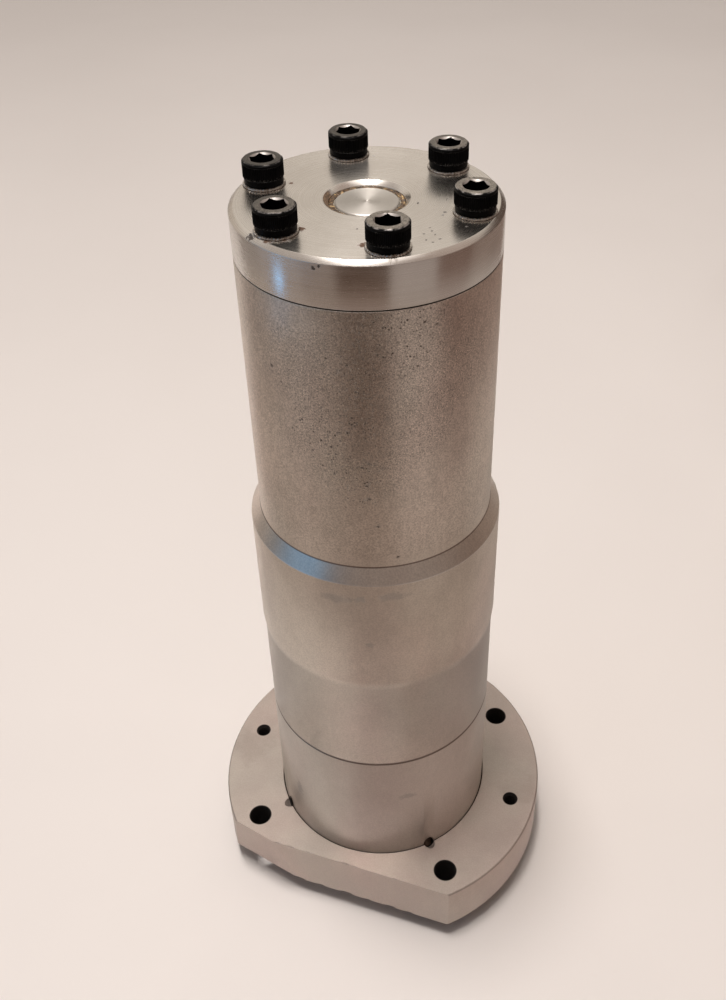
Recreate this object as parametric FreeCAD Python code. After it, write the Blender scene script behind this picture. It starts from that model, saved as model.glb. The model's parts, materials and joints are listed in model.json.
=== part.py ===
import FreeCAD, Part
import os
from math import ceil, cos, pi, radians, sin, sqrt

from FreeCAD import Vector

# A cartridge-type hydraulic push cylinder: a flanged, stepped tube that goes into a machine's bore
# cap end first. Pressure from below pushes the plunger out of the cap, and a spring returns it.
# The tube's axis is Z, and z = 0 is the flange's upper face, which seats on the machine.
# The flat on the flange faces -Y.

# Flange: its bolt holes stand clear of the sleeve, and its rim and flat clear of the bolt holes
bolt_reach = 16.45
bolt_hole_d = 9.92
bolt_count = 4
bolt_turn = 45.0
jack_hole_d = 6.53
jack_count = 2
flange_rim = 12.0
flange_t = 25.4
flat_margin = 11.5
flat_facing = -90.0
relief_step = 6.2
relief_turn = 12.4
relief_lean = 5.4
flange_edge = 0.6
flange_bore_edge = 0.5

# Base sleeve, which the flange is screwed onto: as wide as the barrel's lower part
sleeve_h = 67.0
sleeve_wall = 8.85
flange_thread_step = 0.4
thread_relief_h = 3.0
nose_step = 2.55
nose_h = 9.5
nose_edge = 1.5
lip_t = 7.0
lip_bore_d = 60.0

# Lock pins, driven into slanted holes at the corner between the sleeve and the flange
pin_hole_d = 5.2
pin_hole_depth = 8.5
pin_l = 5.6
pin_tilt = 45.0

# Barrel: its steps follow the cap, and each one goes out or in by so much on the radius
bore_d = 50.8
cone_step = 3.97
land_step = 0.65
land_taper_step = 0.2
lower_h = 50.0
register_h = 59.1
land_taper_h = 5.0
cone_h = 6.0
upper_h = 109.6
joint_edge = 0.4

# Base head, which closes the bore and holds the pressure port
head_t = 12.0
head_spigot_h = 14.0
head_recess = 1.0
port_d = 12.9
port_depth = 14.0
port_face_w = 6.25
port_face_depth = 0.8
passage_d = 8.0

# Seals: square rings in grooves
seal_w = 4.8
seal_t = 4.3
backup_w = 1.6
seal_land = 4.6

# Piston
piston_h = 31.8
piston_start_gap = 0.3
shank_step = 3.2
wear_w = 6.4
wear_t = 2.5
wear_split = 1.2
wear_split_turn = 45.0
rod_seal_w = 3.2
rod_seal_t = 2.5
piston_seal_z = 11.6
wear_z = 22.4
rod_seal_z = 15.0
nut_wall = 4.0
nut_h = 9.5
nut_room_gap = 1.3
nut_room_h = 10.0

# Plunger
plunger_d = 22.2
shoulder_w = 7.95
shoulder_h = 79.8
plunger_recess = 1.35
plunger_edge = 0.4
stroke = 38.1

# End cap
cap_t = 17.2
cap_edge = 1.7
cap_edge_h = 1.5
cap_spigot_h = 12.7
cap_mouth_flare = 1.8
cap_mouth_h = 1.5
cap_bore_gap = 0.5
bushing_wall = 3.2
bushing_h = 20.0
wiper_w = 2.0
wiper_room_h = 4.2
wiper_h = 3.7
wiper_lip = 0.9

# Spring and what guides it
seat_t = 5.0
seat_gap = 0.6
stop_tube_gap = 1.0
spring_gap = 1.1
spring_wire_w = 8.3
spring_wire_h = 4.5
spring_coils = 8
spring_facets = 24

# Cap screws, knurled down to a plain collar, and their ribbed safety washers
screw_count = 6
screw_circle_d = 75.6
screw_margin = 9.03
screw_d = 9.525
screw_l = 31.75
screw_head_d = 14.29
screw_head_h = 8.4
screw_head_edge = 0.7
screw_collar_h = 2.15
screw_collar_step = 0.32
socket_flats = 7.94
socket_depth = 4.4
screw_hole_gap = 0.39
screw_thread_room = 7.0
washer_gap = 0.14
washer_w = 2.5
washer_h = 1.15
spot_margin = 0.15
spot_depth = 0.2

# Clearances on the radius: parts at rest on each other, and parts that slide
fit = 0.05
slide_fit = 0.05
ring_fit = 0.03

# Diameters that follow from the cap screws' circle, from the cap down to the flange's rim
upper_d = screw_circle_d + 2 * screw_margin
register_d = upper_d + 2 * cone_step
lower_d = register_d - 2 * land_step
land_taper_d = lower_d + 2 * land_taper_step
sleeve_d = lower_d
barrel_thread_d = sleeve_d - 2 * sleeve_wall
flange_thread_d = sleeve_d + 2 * flange_thread_step
nose_d = sleeve_d - 2 * nose_step
bolt_circle_d = sleeve_d + 2 * bolt_reach
flange_d = bolt_circle_d + 2 * flange_rim
flat_offset = bolt_circle_d / 2 * sin(radians(bolt_turn)) + flat_margin
relief_offset = flat_offset + relief_step
relief_facing = flat_facing - relief_turn

# Diameters round the plunger and the cap screws
shank_d = plunger_d - 2 * shank_step
shoulder_d = plunger_d + 2 * shoulder_w
cap_bore_d = plunger_d + 2 * cap_bore_gap
bushing_d = plunger_d + 2 * bushing_wall
wiper_room_d = plunger_d + 2 * wiper_w
cap_mouth_d = wiper_room_d + 2 * cap_mouth_flare
nut_flats = shank_d + 2 * nut_wall
nut_room_d = nut_flats * 2 / sqrt(3) + 2 * nut_room_gap
port_face_d = port_d + 2 * port_face_w
seat_d = bore_d - 2 * seat_gap
spring_outer_d = bore_d - 2 * spring_gap
spring_inner_d = spring_outer_d - 2 * spring_wire_w
stop_tube_d = spring_inner_d - 2 * stop_tube_gap
screw_hole_d = screw_d + 2 * screw_hole_gap
washer_bore_d = screw_d + 2 * washer_gap
washer_d = washer_bore_d + 2 * washer_w
spot_d = washer_d + 2 * spot_margin

# Levels along the axis
sleeve_top = sleeve_h
lower_top = sleeve_top + lower_h
register_top = lower_top + register_h
cone_top = register_top + cone_h
barrel_top = cone_top + upper_h
cap_top = barrel_top + cap_t
spigot_bottom = barrel_top - cap_spigot_h
bushing_top = spigot_bottom + bushing_h
mouth_bottom = cap_top - cap_mouth_h
wiper_bottom = mouth_bottom - wiper_room_h
nose_bottom = -flange_t - nose_h
lip_top = nose_bottom + lip_t
barrel_bottom = lip_top + head_t
head_top = barrel_bottom + head_spigot_h
piston_bottom = head_top + piston_start_gap
piston_top = piston_bottom + piston_h
shoulder_top = piston_top + shoulder_h
plunger_top = cap_top - plunger_recess
lower_seat_top = shoulder_top + seat_t
upper_seat_bottom = spigot_bottom - seat_t
stop_tube_top = upper_seat_bottom - stroke
spot_floor = cap_top - spot_depth
washer_top = spot_floor + washer_h


def turned(*outline):
    """A solid of revolution about Z, from the corners (radius, z) of its half section."""
    corners = [Vector(radius, 0, z) for radius, z in outline]
    section = Part.Face(Part.makePolygon(corners + corners[:1]))
    return section.revolve(Vector(0, 0, 0), Vector(0, 0, 1), 360)


def rod(diameter, bottom, top, x=0.0, y=0.0):
    """A plain cylinder along Z, also used as a drill."""
    return Part.makeCylinder(diameter / 2, top - bottom, Vector(x, y, bottom))


def ring(outer_d, inner_d, bottom, top):
    return rod(outer_d, bottom, top).cut(rod(inner_d, bottom, top))


def hexagon(flats, bottom, top):
    """A six-sided prism about Z with its corners on +X and -X."""
    corner = flats / sqrt(3)
    corners = [Vector(corner * cos(k * pi / 3), corner * sin(k * pi / 3), bottom) for k in range(7)]
    return Part.Face(Part.makePolygon(corners)).extrude(Vector(0, 0, top - bottom))


def placed(shape, angle, circle_d=0.0):
    """A copy moved out onto a circle and turned about the tube's axis, in degrees."""
    copy = shape.copy()
    copy.translate(Vector(circle_d / 2, 0, 0))
    copy.rotate(Vector(0, 0, 0), Vector(0, 0, 1), angle)
    return copy


def pattern(shape, count, circle_d, first=0.0):
    return [placed(shape, first + 360.0 * k / count, circle_d) for k in range(count)]


def half_space(offset, direction, reach, lean=0.0):
    """A block whose near face stands off the axis at z = 0, faces a direction and leans inwards below."""
    block = Part.makeBox(reach, 2 * reach, 2 * reach, Vector(offset, -reach, -reach))
    block.rotate(Vector(offset, 0, 0), Vector(0, 1, 0), lean)
    block.rotate(Vector(0, 0, 0), Vector(0, 0, 1), direction)
    return block


def split(shape, gap, reach, turn=0.0):
    """Cuts a gap through one side of a ring, slanted by turning it about the radius."""
    slot = Part.makeBox(reach, gap, 4 * reach, Vector(0, -gap / 2, -2 * reach))
    slot.rotate(Vector(0, 0, 0), Vector(1, 0, 0), turn)
    centre = shape.BoundBox.Center
    slot.translate(Vector(0, 0, centre.z))
    return shape.cut(slot)


def pin_line(diameter, start, length):
    """A cylinder on the lock pins' slanted axis, from a distance below the corner."""
    tilt = radians(pin_tilt)
    axis = Vector(-cos(tilt), 0, -sin(tilt))
    corner = Vector(sleeve_d / 2, 0, 0)
    return Part.makeCylinder(diameter / 2, length, corner + axis * start, axis)


def pin_holes():
    above = pin_hole_d
    return pattern(pin_line(pin_hole_d, -above, above + pin_hole_depth), bolt_count, 0.0, bolt_turn)


def flange():
    top_edge = flange_d / 2 - flange_edge
    bore = flange_thread_d / 2 + fit
    disc = turned(
        (bore, -flange_t),
        (flange_d / 2 - flange_edge, -flange_t),
        (flange_d / 2, -flange_t + flange_edge),
        (flange_d / 2, -flange_edge),
        (top_edge, 0),
        (bore + flange_bore_edge, 0),
        (bore, -flange_bore_edge),
    )
    cuts = [half_space(flat_offset, flat_facing, flange_d)]
    cuts.append(half_space(relief_offset, relief_facing, flange_d, relief_lean))
    cuts += pattern(rod(bolt_hole_d, -flange_t, 0), bolt_count, bolt_circle_d, bolt_turn)
    cuts += pattern(rod(jack_hole_d, -flange_t, 0), jack_count, bolt_circle_d)
    return disc.cut(cuts + pin_holes())


def base_sleeve():
    thread = flange_thread_d / 2
    inner = barrel_thread_d / 2 + fit
    outer = sleeve_d / 2
    tube = turned(
        (lip_bore_d / 2, nose_bottom),
        (nose_d / 2 - nose_edge, nose_bottom),
        (nose_d / 2, nose_bottom + nose_edge),
        (nose_d / 2, -flange_t),
        (thread, -flange_t),
        (thread, -thread_relief_h),
        (outer, -thread_relief_h),
        (outer, sleeve_top - joint_edge),
        (outer - joint_edge, sleeve_top),
        (inner, sleeve_top),
        (inner, lip_top),
        (lip_bore_d / 2, lip_top),
    )
    return tube.cut(pin_holes())


def lock_pins():
    pin = pin_line(pin_hole_d - 2 * ring_fit, pin_hole_depth - pin_l, pin_l)
    return pattern(pin, bolt_count, 0.0, bolt_turn)


def base_head():
    bottom = nose_bottom + head_recess
    spigot = bore_d / 2 - fit
    groove_top = barrel_bottom + seal_land + seal_w
    body = turned(
        (0, bottom),
        (lip_bore_d / 2 - fit, bottom),
        (lip_bore_d / 2 - fit, lip_top),
        (barrel_thread_d / 2 - fit, lip_top),
        (barrel_thread_d / 2 - fit, barrel_bottom),
        (spigot, barrel_bottom),
        (spigot, groove_top - seal_w),
        (bore_d / 2 - seal_t, groove_top - seal_w),
        (bore_d / 2 - seal_t, groove_top),
        (spigot, groove_top),
        (spigot, head_top),
        (0, head_top),
    )
    port_face = rod(port_face_d, bottom, bottom + port_face_depth)
    port = rod(port_d, bottom, bottom + port_face_depth + port_depth)
    return body.cut([port_face, port, rod(passage_d, bottom, head_top)])


def base_seal():
    bottom = barrel_bottom + seal_land
    return ring(bore_d - 2 * ring_fit, bore_d - 2 * seal_t, bottom, bottom + seal_w)


def barrel():
    upper = upper_d / 2
    lower = lower_d / 2
    land = register_d / 2
    thread = barrel_thread_d / 2
    tube = turned(
        (bore_d / 2, barrel_bottom),
        (thread, barrel_bottom),
        (thread, sleeve_top),
        (lower - joint_edge, sleeve_top),
        (lower, sleeve_top + joint_edge),
        (lower, lower_top),
        (land_taper_d / 2, lower_top),
        (land, lower_top + land_taper_h),
        (land, register_top),
        (upper, cone_top),
        (upper, barrel_top - joint_edge),
        (upper - joint_edge, barrel_top),
        (bore_d / 2, barrel_top),
    )
    reach = screw_l - (washer_top - barrel_top) + screw_thread_room
    tapped = rod(screw_d + 2 * ring_fit, barrel_top - reach, barrel_top)
    return tube.cut(pattern(tapped, screw_count, screw_circle_d))


def end_cap():
    outer = upper_d / 2
    spigot = bore_d / 2 - fit
    body = turned(
        (bushing_d / 2 + ring_fit, spigot_bottom),
        (spigot, spigot_bottom),
        (spigot, barrel_top),
        (outer - joint_edge, barrel_top),
        (outer, barrel_top + joint_edge),
        (outer, cap_top - cap_edge_h),
        (outer - cap_edge, cap_top),
        (cap_mouth_d / 2, cap_top),
        (wiper_room_d / 2, mouth_bottom),
        (wiper_room_d / 2, wiper_bottom),
        (cap_bore_d / 2, wiper_bottom),
        (cap_bore_d / 2, bushing_top),
        (bushing_d / 2 + ring_fit, bushing_top),
    )
    cuts = pattern(rod(screw_hole_d, barrel_top, cap_top), screw_count, screw_circle_d)
    cuts += pattern(rod(spot_d, spot_floor, cap_top), screw_count, screw_circle_d)
    return body.cut(cuts)


def guide_bushing():
    return ring(bushing_d, plunger_d + 2 * slide_fit, spigot_bottom, bushing_top)


def wiper_ring():
    inner = plunger_d / 2 + slide_fit
    outer = wiper_room_d / 2 - ring_fit
    top = wiper_bottom + wiper_h
    return turned(
        (inner + wiper_lip, wiper_bottom),
        (outer, wiper_bottom),
        (outer, top - wiper_lip),
        (inner, top),
        (inner, top - wiper_lip),
    )


def cap_screw():
    """One socket head cap screw, standing on its washer on the tube's axis."""
    head = screw_head_d / 2
    collar = head - screw_collar_step
    collar_top = washer_top + screw_collar_h
    top = washer_top + screw_head_h
    body = turned(
        (0, washer_top - screw_l),
        (screw_d / 2, washer_top - screw_l),
        (screw_d / 2, washer_top),
        (collar, washer_top),
        (collar, collar_top),
        (head, collar_top),
        (head, top - screw_head_edge),
        (head - screw_head_edge, top),
        (0, top),
    )
    return body.cut(hexagon(socket_flats, top - socket_depth, top))


def cap_screws():
    return pattern(cap_screw(), screw_count, screw_circle_d)


def lock_washers():
    return pattern(ring(washer_d, washer_bore_d, spot_floor, washer_top), screw_count, screw_circle_d)


def plunger_rod():
    tip = plunger_d / 2
    nut_bottom = piston_bottom + nut_room_h - nut_h
    return turned(
        (0, nut_bottom),
        (shank_d / 2, nut_bottom),
        (shank_d / 2, piston_top),
        (shoulder_d / 2, piston_top),
        (shoulder_d / 2, shoulder_top),
        (tip, shoulder_top),
        (tip, plunger_top - plunger_edge),
        (tip - plunger_edge, plunger_top),
        (0, plunger_top),
    )


def piston():
    outer = bore_d / 2 - slide_fit
    seal_bottom = piston_bottom + piston_seal_z
    seal_top = seal_bottom + seal_w + backup_w
    wear_bottom = piston_bottom + wear_z
    body = turned(
        (shank_d / 2 + ring_fit, piston_bottom),
        (outer, piston_bottom),
        (outer, seal_bottom),
        (bore_d / 2 - seal_t, seal_bottom),
        (bore_d / 2 - seal_t, seal_top),
        (outer, seal_top),
        (outer, wear_bottom),
        (bore_d / 2 - wear_t, wear_bottom),
        (bore_d / 2 - wear_t, wear_bottom + wear_w),
        (outer, wear_bottom + wear_w),
        (outer, piston_top),
        (shank_d / 2 + ring_fit, piston_top),
    )
    rod_seal_bottom = piston_bottom + rod_seal_z
    rod_seal_room = rod(shank_d + 2 * rod_seal_t, rod_seal_bottom, rod_seal_bottom + rod_seal_w)
    return body.cut([rod(nut_room_d, piston_bottom, piston_bottom + nut_room_h), rod_seal_room])


def piston_seal():
    bottom = piston_bottom + piston_seal_z
    return ring(bore_d - 2 * ring_fit, bore_d - 2 * seal_t, bottom, bottom + seal_w)


def piston_backup_ring():
    bottom = piston_bottom + piston_seal_z + seal_w
    return ring(bore_d - 2 * ring_fit, bore_d - 2 * seal_t, bottom, bottom + backup_w)


def wear_ring():
    bottom = piston_bottom + wear_z
    band = ring(bore_d - 2 * ring_fit, bore_d - 2 * wear_t, bottom, bottom + wear_w)
    return split(band, wear_split, bore_d, wear_split_turn)


def rod_seal():
    bottom = piston_bottom + rod_seal_z
    return ring(shank_d + 2 * rod_seal_t, shank_d, bottom, bottom + rod_seal_w)


def piston_nut():
    top = piston_bottom + nut_room_h
    return hexagon(nut_flats, top - nut_h, top).cut(rod(shank_d, top - nut_h, top))


def lower_spring_seat():
    return ring(seat_d, plunger_d + 2 * slide_fit, shoulder_top, lower_seat_top)


def stop_tube():
    return ring(stop_tube_d, plunger_d + 2 * slide_fit, lower_seat_top, stop_tube_top)


def upper_spring_seat():
    return ring(seat_d, cap_bore_d, upper_seat_bottom, spigot_bottom)


def wire_section(turns, pitch):
    """Corners of the spring wire's section, after a number of turns up from the lower seat."""
    middle = lower_seat_top + pitch * turns
    inner = spring_inner_d / 2
    outer = spring_outer_d / 2
    half = spring_wire_h / 2
    out = Vector(cos(2 * pi * turns), sin(2 * pi * turns), 0)
    outline = [(inner, -half), (outer, -half), (outer, half), (inner, half)]
    return [out * radius + Vector(0, 0, middle + rise) for radius, rise in outline]


def facet(*corners):
    return Part.Face(Part.makePolygon([*corners, corners[0]]))


def return_spring():
    """A coil of rectangular wire in flat facets, its ends ground flat on the two seats."""
    free_h = upper_seat_bottom - lower_seat_top
    pitch = free_h / spring_coils
    overrun = ceil(spring_facets * spring_wire_h / 2 / pitch)
    steps = range(-overrun, spring_facets * spring_coils + overrun + 1)
    sections = [wire_section(step / spring_facets, pitch) for step in steps]
    facets = [facet(*sections[0]), facet(*sections[-1])]
    for below, above in zip(sections, sections[1:]):
        for near, far in zip(range(4), (1, 2, 3, 0)):
            facets.append(facet(below[near], below[far], above[near]))
            facets.append(facet(below[far], above[far], above[near]))
    coil = Part.makeCompound(facets)
    coil.sewShape()
    room = rod(spring_outer_d + 2 * spring_wire_h, lower_seat_top, upper_seat_bottom)
    return Part.makeSolid(coil.Shells[0]).common(room)


def save(node, shape):
    solids = shape if isinstance(shape, list) else shape.Solids
    whole = Part.makeCompound(solids) if len(solids) > 1 else solids[0]
    whole.exportStep(f"parts/{node}.step")


os.makedirs("parts", exist_ok=True)
for make in (
    flange, base_sleeve, lock_pins, base_head, base_seal, barrel, end_cap, guide_bushing, wiper_ring,
    cap_screws, lock_washers, plunger_rod, piston, piston_seal, piston_backup_ring, wear_ring,
    rod_seal, piston_nut, lower_spring_seat, stop_tube, upper_spring_seat, return_spring,
):
    save(make.__name__, make())
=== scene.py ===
import json
from functools import partial
from math import atan2, cos, hypot, pi, radians, sin, sqrt

import bmesh
import bpy
from mathutils import Matrix, Vector, noise as wrinkle


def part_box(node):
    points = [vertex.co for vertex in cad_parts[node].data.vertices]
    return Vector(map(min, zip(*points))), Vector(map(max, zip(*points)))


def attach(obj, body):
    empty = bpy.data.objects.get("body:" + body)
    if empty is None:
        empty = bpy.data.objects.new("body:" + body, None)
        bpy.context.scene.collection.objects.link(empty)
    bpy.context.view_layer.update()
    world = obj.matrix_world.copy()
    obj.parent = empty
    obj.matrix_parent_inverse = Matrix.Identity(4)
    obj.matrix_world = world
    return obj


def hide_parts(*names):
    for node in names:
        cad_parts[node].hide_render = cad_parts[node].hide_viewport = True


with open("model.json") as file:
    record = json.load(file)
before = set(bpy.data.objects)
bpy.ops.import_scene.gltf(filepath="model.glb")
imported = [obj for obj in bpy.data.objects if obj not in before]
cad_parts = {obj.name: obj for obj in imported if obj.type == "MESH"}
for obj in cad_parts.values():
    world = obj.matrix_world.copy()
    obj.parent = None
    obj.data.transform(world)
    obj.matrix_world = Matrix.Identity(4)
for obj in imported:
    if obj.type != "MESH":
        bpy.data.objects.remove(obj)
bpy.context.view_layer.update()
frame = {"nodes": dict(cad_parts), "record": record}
nodes = frame["nodes"]
mounts = {mount["name"]: mount for mount in frame["record"]["mounts"]}

# A flanged, stepped steel cylinder standing on its base nose. Everything is in metres, about the
# tube's axis Z, with z = 0 in the flange's upper face and the flange's flat facing -Y.

# Places taken from the frame
CAP_LOW, CAP_HIGH = (corner.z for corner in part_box("end_cap"))
UPPER_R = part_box("end_cap")[1].x
BARREL_LOW, BARREL_HIGH = (corner.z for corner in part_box("barrel"))
LAND_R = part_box("barrel")[1].x
NOSE_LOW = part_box("base_sleeve")[0].z
SLEEVE_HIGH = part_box("base_sleeve")[1].z
FLANGE_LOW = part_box("flange")[0].z
FLANGE_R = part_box("flange")[1].x
FLAT_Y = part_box("flange")[0].y
HEAD_LOW, HEAD_HIGH = (corner.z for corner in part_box("base_head"))
ROD_LOW, ROD_HIGH = (corner.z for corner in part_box("plunger_rod"))
SHOULDER_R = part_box("plunger_rod")[1].x
WIPER_LOW, WIPER_HIGH = (corner.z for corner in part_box("wiper_ring"))
WIPER_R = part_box("wiper_ring")[1].x
WASHER_LOW, WASHER_HIGH = (corner.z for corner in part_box("lock_washers"))
SCREW_LOW, SCREW_HIGH = (corner.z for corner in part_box("cap_screws"))
BOLT_R = mounts["flange_bolts"]["dims"]["pcd_mm"] / 2000
BOLT_HOLE_R = mounts["flange_bolts"]["dims"]["hole_r_mm"] / 1000
JACK_HOLE_R = mounts["jack_screws"]["dims"]["hole_r_mm"] / 1000
PORT_R = mounts["pressure_port"]["dims"]["r_mm"] / 1000

# Barrel, sleeve and nose
BORE_R = 0.0254
LOWER_R = 0.05015
TAPER_R = 0.05035
NOSE_R = 0.0476
BARREL_THREAD_R = 0.0413
FLANGE_THREAD_R = 0.05055
LIP_R = 0.030
LOWER_HIGH = 0.117
TAPER_HIGH = 0.122
LAND_HIGH = 0.1761
CONE_HIGH = 0.1821
LIP_T = 0.007
THREAD_RELIEF = 0.003
JOINT_EDGE = 0.0004
FIT = 0.00005

# End cap
SPIGOT_R = 0.02535
CAP_EDGE = 0.0017
CAP_EDGE_H = 0.0015
MOUTH_R = 0.0149
MOUTH_H = 0.0015
WIPER_ROOM_R = 0.0131
CAP_BORE_R = 0.0116
BUSHING_R = 0.01433
BUSHING_HIGH = 0.299

# Cap screws and washers
SCREW_COUNT = 6
SCREW_CIRCLE_R = 0.0378
SCREW_R = 0.0047
SCREW_PITCH = 0.0015875
HEAD_R = 0.007145
HEAD_EDGE = 0.0007
COLLAR_R = 0.006825
COLLAR_H = 0.00215
SOCKET_R = 0.004584
SOCKET_DEPTH = 0.0044
SOCKET_MOUTH_R = 0.0046
WASHER_R = 0.0074
WASHER_BORE_R = 0.0049
WASHER_RIBS = 40
SPOT_R = 0.00755
SPOT_DEPTH = 0.0002
SCREW_HOLE_R = 0.00515
TAPPED_R = 0.00479
TAPPED_DEPTH = 0.034
KNURL_STEPS = 144
KNURL_DEPTH = 0.00022
CHATTER_DEPTH = 0.00016

# Plunger rod
ROD_R = 0.0111
ROD_EDGE = 0.0004
SHANK_R = 0.0079
SHANK_HIGH = 0.0302
SHOULDER_HIGH = 0.110

# Flange cuts
FLANGE_EDGE = 0.0006
FLANGE_BORE_EDGE = 0.0003
RELIEF_OFFSET = -FLAT_Y + 0.0062
RELIEF_TURN = 12.4
RELIEF_LEAN = 5.4
BOLT_TURN = 45.0
BOLT_COUNT = 4
PIN_HOLE_R = 0.0026
PIN_HOLE_DEPTH = 0.0085
PIN_L = 0.0056
PIN_LEAN = 45

# Base head
HEAD_LIP_R = 0.02995
HEAD_THREAD_R = 0.04125
HEAD_SEAL_R = 0.0211
HEAD_GROOVE_LOW, HEAD_GROOVE_HIGH = -0.0113, -0.0065
PORT_FACE_R = 0.0127
PORT_FACE_DEPTH = 0.0008
PORT_DEPTH = 0.0148
PASSAGE_R = 0.004
FINE_PITCH = 0.001411

# Facets round a full turn, how far a cutter runs past the face it cuts, and limits of tests
STEPS = 288
OVERRUN = 0.001
MERGE = 1e-6
SHARP = radians(28)
LEVEL = 0.99995


# Shapes

def revolved(outline, steps=STEPS):
    """Spins the corners (radius, z) of a half section about Z, into a closed shape."""
    shape = bmesh.new()
    corners = [shape.verts.new((radius, 0, z)) for radius, z in outline]
    pairs = list(zip(corners, corners[1:]))
    if outline[0][0] > 0:
        pairs.append((corners[-1], corners[0]))
    edges = [shape.edges.new(pair) for pair in pairs]
    bmesh.ops.spin(shape, geom=corners + edges, cent=(0, 0, 0), axis=(0, 0, 1), angle=2 * pi,
                   steps=steps, use_merge=True)
    bmesh.ops.remove_doubles(shape, verts=shape.verts, dist=MERGE)
    bmesh.ops.recalc_face_normals(shape, faces=shape.faces)
    return shape


def rounded(shape, size, segments=2):
    """Rounds the sharp edges of a shape."""
    sharp = [edge for edge in shape.edges if len(edge.link_faces) == 2 and edge.calc_face_angle() > SHARP]
    bmesh.ops.bevel(shape, geom=sharp, offset=size, segments=segments, profile=0.5,
                    affect="EDGES", clamp_overlap=True, material=-1)
    return shape


def moved(shape, turn=0.0, out=0.0, up=0.0):
    """Lifts a shape, moves it out along X and turns it about Z, in degrees."""
    bmesh.ops.translate(shape, verts=shape.verts, vec=(out, 0, up))
    return turned(shape, turn, "Z")


def turned(shape, angle, axis):
    """Turns a shape about one of the three axes, in degrees."""
    bmesh.ops.rotate(shape, verts=shape.verts, cent=(0, 0, 0),
                     matrix=Matrix.Rotation(radians(angle), 3, axis))
    return shape


def joined(shapes):
    """One shape from several."""
    whole = bmesh.new()
    for shape in shapes:
        mesh = bpy.data.meshes.new("part")
        shape.to_mesh(mesh)
        shape.free()
        whole.from_mesh(mesh)
        bpy.data.meshes.remove(mesh)
    return whole


def linked(name, data):
    """An object of a mesh, a lamp or a camera, in the scene."""
    made = bpy.data.objects.new(name, data)
    bpy.context.scene.collection.objects.link(made)
    return made


def piece(name, shape):
    """An object made of a shape, smooth except at its sharp edges."""
    mesh = bpy.data.meshes.new(name)
    shape.to_mesh(mesh)
    shape.free()
    return finished(linked(name, mesh))


def finished(made):
    """Smooth except at sharp edges and on the level faces."""
    made.data.shade_smooth()
    made.data.set_sharp_from_angle(angle=SHARP)
    directions = [Vector((0, 0, 1)), *flat_directions()]
    for face in made.data.polygons:
        if max(abs(face.normal.dot(direction)) for direction in directions) > LEVEL:
            face.use_smooth = False
    return made


def flat_directions():
    """The directions in which the flange's flat and its leaning relief face."""
    found = []
    for turn, lean in ((0.0, 0.0), (-RELIEF_TURN, RELIEF_LEAN)):
        facing = Vector((sin(radians(turn)), -cos(radians(turn)), 0))
        found.append(facing * cos(radians(lean)) - Vector((0, 0, sin(radians(lean)))))
    return found


def cut(made, *tools):
    """Takes shapes out of a piece, one after the other."""
    for tool in tools:
        cutter = piece("cutter", tool)
        modifier = made.modifiers.new("cut", "BOOLEAN")
        modifier.operation = "DIFFERENCE"
        modifier.solver = "EXACT"
        modifier.object = cutter
        bpy.context.view_layer.update()
        graph = bpy.context.evaluated_depsgraph_get()
        result = bpy.data.meshes.new_from_object(made.evaluated_get(graph))
        made.modifiers.clear()
        old = made.data
        made.data = result
        result.name = made.name
        bpy.data.meshes.remove(old)
        bpy.data.objects.remove(cutter)
    return finished(made)


def drill(radius, low, high, mouth=0.0, steps=64):
    """A drill that leaves a flared mouth at the top of its hole."""
    outline = [(0, low), (radius, low), (radius, high - mouth)]
    if mouth:
        outline.append((radius + mouth, high))
        outline.append((radius + mouth, high + OVERRUN))
    else:
        outline.append((radius, high + OVERRUN))
    outline.append((0, outline[-1][1]))
    return revolved(outline, steps)


def thread_outline(crest, root, low, high, pitch):
    """The zigzag of a thread along a cylinder, from its low end to its high end."""
    turns = int((high - low) / pitch)
    outline = []
    for turn in range(turns):
        outline.append((root, low + turn * pitch))
        outline.append((crest, low + (turn + 0.5) * pitch))
    outline.append((root, low + turns * pitch))
    return outline


def around(make, count, out=0.0, first=0.0):
    """Copies of a shape in a circle."""
    return joined([moved(make(), first + 360 * k / count, out) for k in range(count)])


# Pieces

def end_cap():
    joint = BARREL_HIGH
    cap = revolved([
        (BUSHING_R, CAP_LOW), (SPIGOT_R, CAP_LOW), (SPIGOT_R, joint), (UPPER_R - JOINT_EDGE, joint),
        (UPPER_R, joint + JOINT_EDGE), (UPPER_R, CAP_HIGH - CAP_EDGE_H), (UPPER_R - CAP_EDGE, CAP_HIGH),
        (MOUTH_R, CAP_HIGH), (WIPER_ROOM_R, CAP_HIGH - MOUTH_H), (WIPER_ROOM_R, WIPER_LOW),
        (CAP_BORE_R, WIPER_LOW), (CAP_BORE_R, BUSHING_HIGH), (BUSHING_R, BUSHING_HIGH),
    ])
    made = piece("end_cap_turned", rounded(cap, 0.00012))
    return cut(made, around(spot_face, SCREW_COUNT, SCREW_CIRCLE_R),
               around(lambda: drill(SCREW_HOLE_R, joint - OVERRUN, CAP_HIGH), SCREW_COUNT, SCREW_CIRCLE_R),
               rim_ding())


def spot_face():
    """The cutter of a shallow seat, whose rim has the tool's chatter marks."""
    return notched(drill(SPOT_R, CAP_HIGH - SPOT_DEPTH, CAP_HIGH, steps=128), CHATTER_DEPTH, SPOT_R)


def rim_ding():
    """A small knock in the cap's chamfer, as a lump to take away."""
    lump = bmesh.new()
    bmesh.ops.create_icosphere(lump, subdivisions=3, radius=0.0011)
    bmesh.ops.scale(lump, vec=(0.9, 1.6, 0.8), verts=lump.verts)
    return moved(lump, -123.6, UPPER_R - 0.0006, CAP_HIGH - 0.0002)


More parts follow.
